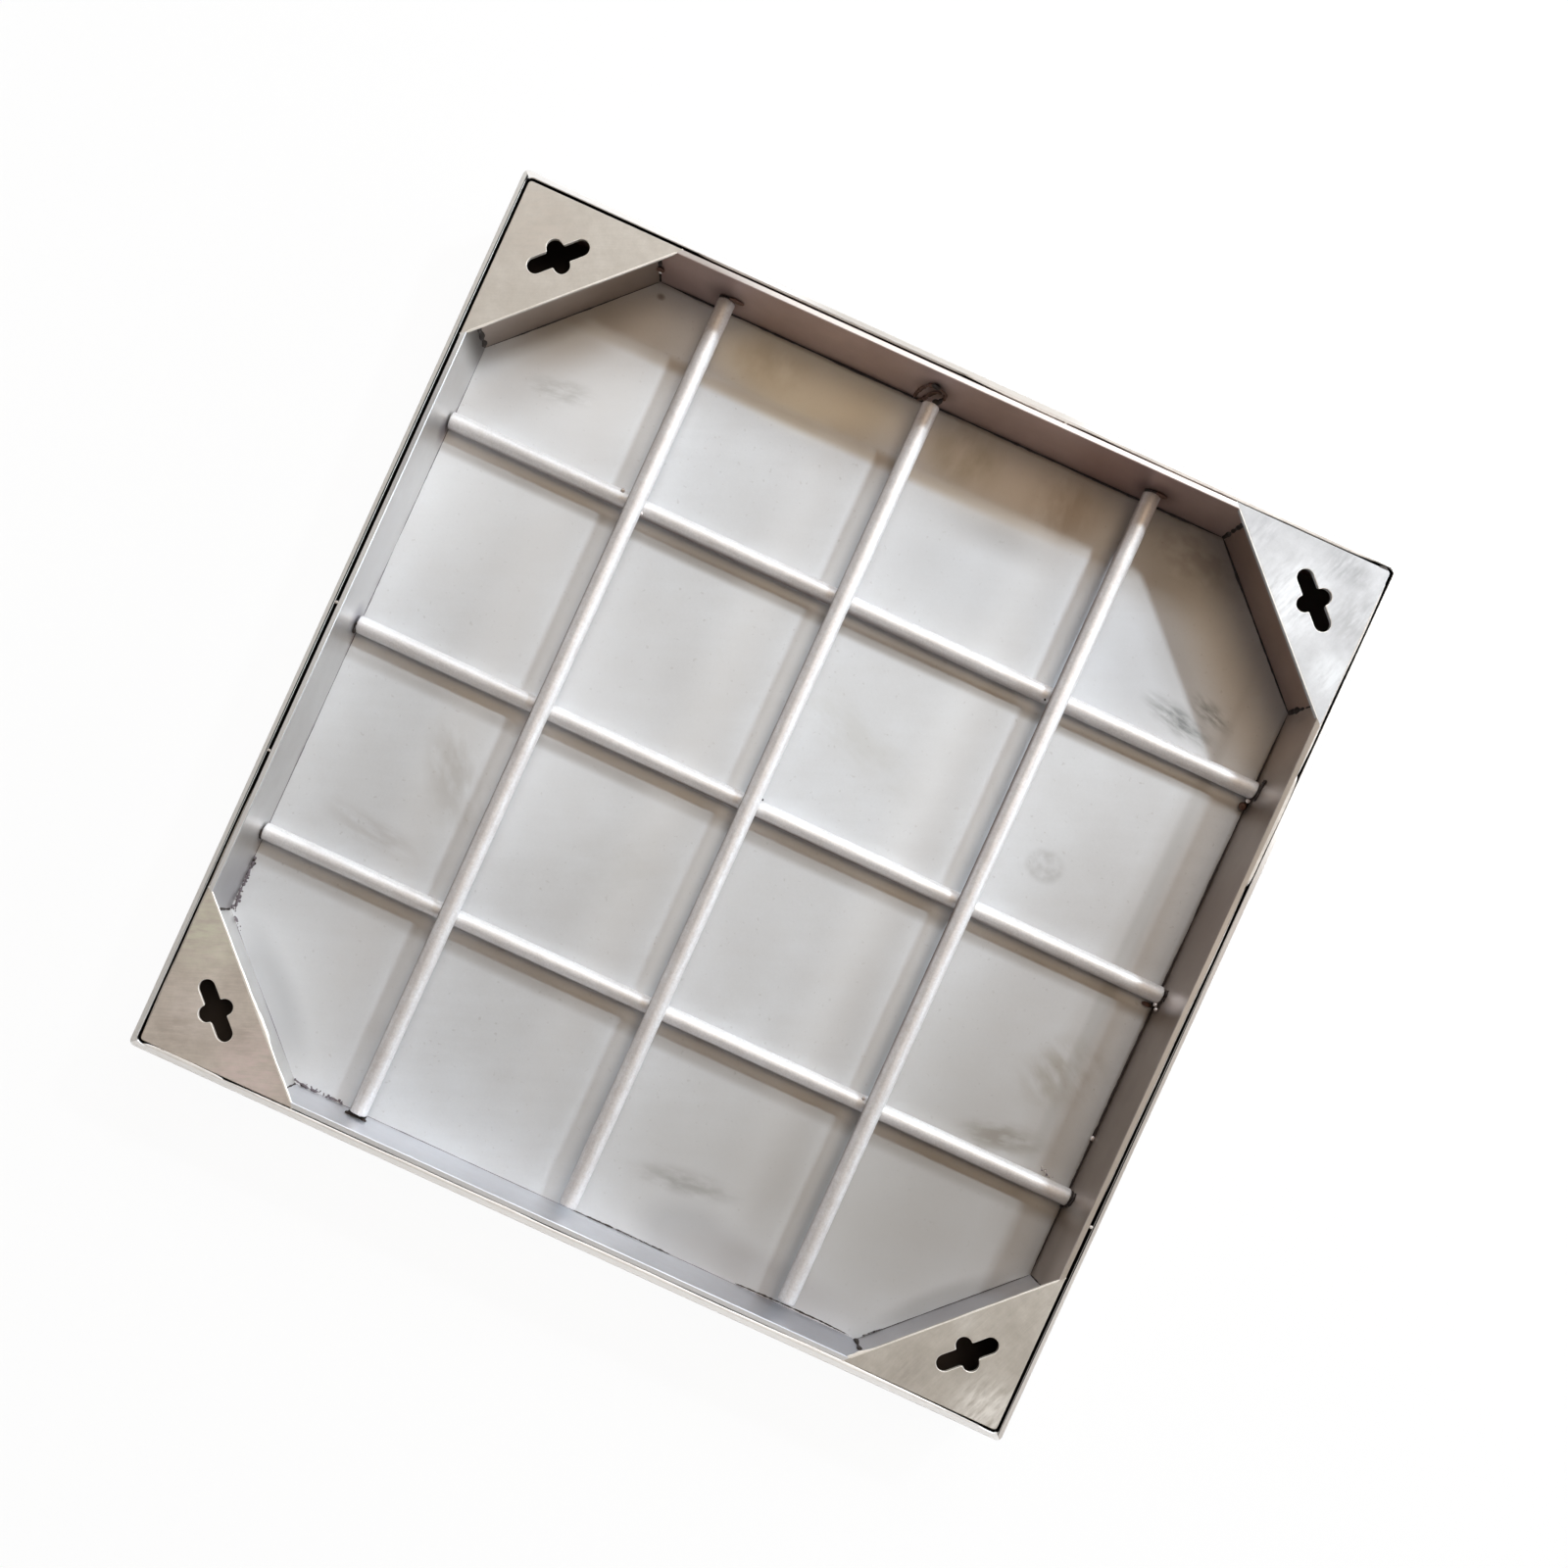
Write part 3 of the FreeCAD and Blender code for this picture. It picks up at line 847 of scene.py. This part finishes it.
def wallBead(side, thick, points, seed):
    # a bead along the points, half sunk in the wall
    path = threaded(points)
    heading = unit(np.gradient(path, axis=0))
    sign = sideSign[side]
    out = np.full(len(path), 0.5 * thick - cover["inner"] - beadSink)
    across = np.stack([-heading[:, 1], 0 * out, sign * heading[:, 0]], axis=-1)
    path = np.stack([sign * path[:, 0], out, path[:, 1]], axis=-1)
    rings = bead(path, across, (0, 1, 0), thick, 0.7 * thick, tapered(len(path), seed, 0.4, 1.2))
    return quarterTurned(rings, sides.index(side))


makeRow("wall_beads", wallBead, wallBeads["dark"], 170, weldDark)
makeRow("wall_beads_brown", wallBead, wallBeads["brown"], 180, weldBrown)
print("rod welds")


# Dark seams along the foot of the walls and webs, thick in some places and gone in others

seams = dict(
    step=1.5,
    # thickness and patchiness along each wall and web
    front=(0.3, 0.7), right=(1.05, 0.35), back=(1.1, 0.4), left=(0.34, 0.7),
    front_right=(0.32, 0.6), back_right=(0.95, 0.4), back_left=(0.5, 0.5), front_left=(0.3, 0.7),
    grey=("front", "left", "front_left"))
slant = math.sqrt(0.5)  # x and y of a unit step at 45 degrees


def footSeam(start, stop, inward, thick, patchy, seed):
    # a bead in the corner of floor and wall; its thickness is thick * clip(level + noise, small, 1)
    path = straight(start, stop, seams["step"])
    count = len(path)
    level = np.clip(0.75 + patchy * ripples(count, 6, seed), 0.12, 1)
    ragged = 1 + 0.3 * ripples(count, 0.8, seed + 1)
    return bead(path, inward, (0, 0, 1), thick, thick, level * ragged * tapered(count, seed, 0), around=8)


def allFootSeams(grey):
    made = []
    reach, inner, z = cover["wallReach"], cover["inner"], cover["floorTop"]
    spots = [((-reach, -inner, z), (reach, -inner, z), (0, 1, 0)),
             ((reach, -inner, z), (inner, -reach, z), (-slant, slant, 0))]
    for number, pair in enumerate(zip(sides, corners)):
        for name, spot, seed in zip(pair, spots, (200, 220)):
            if (name in seams["grey"]) == grey:
                made.append(quarterTurned(footSeam(*spot, *seams[name], seed + number), number))
    return made


makePiece("foot_seams", allFootSeams(False), weldDark)
makePiece("foot_seams_grey", allFootSeams(True), weldGrey)

# ragged runs of weld at the foot of the walls, as thickness and x, y points
dashes = dict(
    dark=[
        (0.4, [(-2, -242.3), (28, -242), (58, -242.3)]),
        (0.42, [(96, -241.9), (110, -241.4), (125, -241.2), (148, -241.2), (166, -241.8)]),
        (0.26, [(172, -239.4), (176.2, -235), (181, -230.6)]),
        (0.6, [(-168, -242), (-163, -241.6)]), (0.7, [(243, -116), (242.2, -105)])],
    grey=[
        (0.95, [(-242, -137), (-241.4, -142), (-241.8, -147), (-241.2, -152), (-241.6, -158)]),
        (1.05, [(-241.6, -157), (-241, -162), (-240.6, -166), (-239.6, -169.5)]),
        (0.6, [(-171.7, -240.6), (-167, -241.4), (-161.5, -242), (-155.3, -241.5)]),
        (0.5, [(-152, -241.9), (-147, -241.4), (-141, -242)]),
        (0.5, [(-238.6, -171.6), (-235.5, -175.4)])])


footLift = 0.05  # middle of a dash or crumb above the floor


def dashBead(thick, points, seed):
    # a bead through the points, which wander by 0.25 * thick * noise
    path = threaded(points)
    count = len(path)
    path = path + 0.25 * thick * smoothNoise(count, 2, (1, 0.01), seed)
    heading = np.gradient(path, axis=0)
    across = unit(np.stack([-heading[:, 1], heading[:, 0], 0 * heading[:, 0]], axis=-1))
    path = np.stack([path[:, 0], path[:, 1], np.full(count, cover["floorTop"] + footLift)], axis=-1)
    ragged = np.clip(0.8 + 0.7 * ripples(count, 1.2, seed + 3), 0.25, 1.5)
    return bead(path, across, (0, 0, 1), thick, 0.6 * thick, tapered(count, seed, 0) * ragged)


makeRow("foot_welds_dark", dashBead, dashes["dark"], 240, weldDark)
makeRow("foot_welds_grey", dashBead, dashes["grey"], 250, weldGrey)

# crumbs scattered along a line: how many, from, to, how far out at most, smallest and largest half width
crumbs = [(26, (-242, -141), (-241.2, -168), 1.1, (0.3, 0.75)),
          (12, (-241.6, -158), (-240.4, -170), 1.5, (0.4, 0.9)),
          (20, (-171, -241), (-142, -241.8), 0.9, (0.3, 0.7)),
          (10, (-238.6, -171.6), (-232, -178.4), 0.8, (0.25, 0.5)),
          (9, (224, -113.6), (232, -117), 1.6, (0.25, 0.5))]


def crumbRow(count, start, stop, away, sizeRange, seed):
    dice = np.random.default_rng(seed)
    share = np.sort(dice.uniform(0, 1, count))[:, None]
    places = np.array(start) + share * (np.array(stop) - np.array(start))
    places = places + away * dice.uniform(-1, 1, (count, 2))
    places = np.clip(places, 0.3 - cover["inner"], cover["inner"] - 0.3)
    sizes = dice.uniform(*sizeRange, (count, 1)) * dice.uniform(0.7, 1.3, (count, 2))
    return [lump((*place, cover["floorTop"] + footLift), (*size, 0.5 * size.min()), seed + number)
            for number, (place, size) in enumerate(zip(places, sizes))]


allCrumbs = [crumb for number, row in enumerate(crumbs) for crumb in crumbRow(*row, 400 + 40 * number)]
makePiece("foot_crumbs", allCrumbs, weldGrey)

# upright welds where the corner webs meet the walls, as share of height from and to, and thickness; the
# first joints of a corner are on the side before it and the second ones on the side after it
webJoints = dict(
    front_right=([(0, 0.5, 1.8)], [(0, 0.9, 0.5)]),
    back_right=([(0.02, 0.5, 1.9), (0.52, 0.74, 1.1), (0.78, 0.92, 1.7)], [(0, 0.28, 1.5), (0.3, 0.8, 2)]),
    back_left=([(0, 0.36, 0.9), (0.48, 0.76, 1.2)], [(0, 0.98, 2.1)]),
    front_left=([(0, 0.5, 0.9)], [(0, 0.8, 0.8)]))


def webJoint(place, heading, fromShare, toShare, thick, seed):
    # an upright bead of uneven thickness between two shares of the web's height
    low, tall = cover["floorTop"], cover["plateUnder"] - cover["floorTop"]
    path = straight((*place, low + fromShare * tall), (*place, low + toShare * tall), 0.8)
    count = len(path)
    ragged = np.clip(0.85 + 0.4 * ripples(count, 2, seed), 0.3, 1.3)
    across = (-heading[1], heading[0], 0)
    swell = tapered(count, seed, 0) * ragged
    return bead(path, across, (*heading, 0), thick, 0.8 * thick, swell, around=8)


def allWebJoints():
    made = []
    reach, inner = cover["wallReach"], cover["inner"]
    for number, corner in enumerate(corners):
        # each joint faces halfway between web and wall
        spots = [((reach, -inner), (-0.38, 0.92)), ((inner, -reach), (-0.92, 0.38))]
        for half, (place, heading) in enumerate(spots):
            for piece, joint in enumerate(webJoints[corner][half]):
                ring = webJoint(place, heading, *joint, 260 + 10 * number + 5 * half + piece)
                made.append(quarterTurned(ring, number))
    return made


makePiece("web_joint_welds", allWebJoints(), weldDark)
print("seams")


# Bright lips: the ground free edge of each corner plate and the deburred rim of each keyhole

keyhole = dict(inset=30, long=35, cross=19.6, width=9.5, lip=0.38, round=0.6)
lipLook = dict(
    wallLook, colour=(250, 247, 242), cloudColour=(216, 208, 198), cloudSize=14, brushSize=(6, 1, 1),
    brushAmount=0.05, roughness=0.45, metallic=0.3, bump=0.01, slotShade=None)
lipSteel = steel("ground_edge", lipLook)
# thickness of each free edge, and places where more was ground off: share of its length, spread, thickness
freeEdges = dict(front_right=0.5, back_right=0.3, back_left=0.6, front_left=1.1)
thickEdges = [("front_left", 0.62, 0.1, 1.25), ("front_left", 0.42, 0.05, 0.6),
              ("front_right", 0.06, 0.05, 1.3), ("back_left", 0.9, 0.06, 0.4)]


def slotReach(angle, length, width):
    # how far a round-ended slot reaches from its middle in each direction: its side at (w/2) / |sin a|,
    # or its end at c |cos a| + sqrt((w/2)^2 - c^2 sin^2 a), with c half the straight length
    half, straightHalf = width / 2, (length - width) / 2
    side = half / np.maximum(np.abs(np.sin(angle)), 1e-6)
    end = straightHalf * np.abs(np.cos(angle)) + np.sqrt(
        np.maximum(half ** 2 - (straightHalf * np.sin(angle)) ** 2, 0))
    return np.where(side * np.abs(np.cos(angle)) <= straightHalf, side, end)


def keyholeLip(seed):
    # a half round bead along the longer of two crossed slots in every direction, blended where they meet
    angle = fullTurn(240)
    first = slotReach(angle, keyhole["long"], keyhole["width"])
    second = slotReach(angle + math.pi / 2, keyhole["cross"], keyhole["width"])
    gap = np.maximum(keyhole["round"] - np.abs(first - second), 0) / keyhole["round"]
    reach = np.maximum(first, second) + gap ** 2 * keyhole["round"] / 4
    heading = angle + math.pi / 4
    middle = cover["outer"] - keyhole["inset"]
    top = np.full(len(angle), cover["rim"] - keyhole["lip"])
    path = np.stack([middle + reach * np.cos(heading), reach * np.sin(heading) - middle, top], axis=-1)
    ahead = unit(np.roll(path, -1, axis=0) - np.roll(path, 1, axis=0))
    across = np.stack([ahead[:, 1], -ahead[:, 0], 0 * reach], axis=-1)
    swell = 1 - 0.25 * (0.5 + 0.5 * ripples(len(path), 4, seed))
    rings = bead(path, across, (0, 0, 1), keyhole["lip"], keyhole["lip"], swell)
    return np.concatenate([rings, rings[:1]])


def freeEdgeBead(corner, seed):
    # a bead along the plate's free edge, thicker where it was ground hard
    reach = cover["plateLine"] - cover["outer"]
    path = straight((reach, -cover["outer"], 0), (cover["outer"], -reach, 0), 1.2)
    share = np.linspace(0, 1, len(path))
    thick = freeEdges[corner] * (1 + 0.25 * ripples(len(path), 3, seed))
    for name, at, wide, extra in thickEdges:
        if name == corner:
            ragged = 1 + 0.5 * ripples(len(path), 1.2, seed + 5)
            thick = thick + extra * np.exp(-((share - at) / wide) ** 2) * ragged
    thick = np.clip(thick, 0.1, 2)
    path[:, 2] = cover["rim"] - 0.5 * thick
    return bead(path, (-slant, slant, 0), (0, 0, 1), 1, 0.5, thick)


for number, corner in enumerate(corners):
    rings = quarterTurned(freeEdgeBead(corner, 300 + number), number)
    makePiece("plate_edge_" + corner, [rings], lipSteel)
    rings = quarterTurned(keyholeLip(310 + number), number)
    makePiece("keyhole_lip_" + corner, [rings], lipSteel)
print("plate edges")


# Gap between the tray and the frame: strips of burr and dust that narrow it, and tacks across it

gapFill = dict(
    step=2, tackDepth=0.6, tackSize=(1.1, 0.7), tackClear=0.02,
    # side, from and to along it, share of the gap that it closes, what it lies on, middle below the rim
    strips=[
        ("back", -150, 4, 0.4, "frame", 0.85), ("back", 2, 236, 0.85, "frame", 0.5),
        ("right", 128, 240, 0.6, "tray", 0.85), ("right", 66, 130, 0.95, "tray", 0.85),
        ("right", -120, 68, 0.35, "tray", 0.85), ("left", -243, -100, 0.4, "tray", 0.85)],
    frontStrips=[("front", -200, 240, 0.85, "frame", 0.3), ("front", -243, -196, 0.85, "frame", 0.3)],
    # side, place along it, half length
    tacks=[
        ("left", 4.5, 0.9), ("left", -80.3, 0.8), ("right", -128.5, 0.9), ("front", -232.4, 1.6),
        ("back", 60, 0.8)])


def gapStrip(side, start, stop, share, against, depth, seed):
    # a bead lying along one face of the slot, its width share * gap * (1 + noise)
    gap = cover["frameInner"] - cover["outer"]
    face = -cover["frameInner"] if against == "frame" else -cover["outer"]
    path = straight((sideSign[side] * start, face, 0), (sideSign[side] * stop, face, 0), gapFill["step"])
    wide = share * gap * (1 + 0.3 * ripples(len(path), 5, seed))
    swell = tapered(len(path), seed, 0) * wide
    path[:, 2] = cover["rim"] - depth
    rings = bead(path, (0, 1, 0), (0, 0, 1), 1, 0.9, swell, around=8)
    return quarterTurned(rings, sides.index(side))


def gapTack(side, place, half, seed):
    # a flat drop across the gap, ground off level with the rim
    middle = (cover["frameInner"] + cover["outer"]) / 2
    centre = (sideSign[side] * place, -middle, cover["rim"] - gapFill["tackDepth"])
    rings = lump(centre, (half, *gapFill["tackSize"]), seed, 0.2)
    rings[..., 2] = np.minimum(rings[..., 2], cover["rim"] - gapFill["tackClear"])
    return quarterTurned(rings, sides.index(side))


burrLook = dict(frameLook, colour=(214, 208, 202), cloudColour=(168, 160, 152), cloudSize=12, roughness=0.7,
                slotShade=None)
frameDust = steel("gap_burr", burrLook)
makeRow("gap_strips", gapStrip, gapFill["strips"], 330, frameDust)
# the front strips are near white, painted light against the shade down in the slot
frontDustAndLight = steel("front_burr", dict(burrLook, colour=(252, 250, 248), cloudColour=(226, 222, 218)))
makeRow("gap_strips_front", gapStrip, gapFill["frontStrips"], 340, frontDustAndLight)
makeRow("gap_tacks", gapTack, gapFill["tacks"], 350, frameDust)
print("gap between tray and frame")
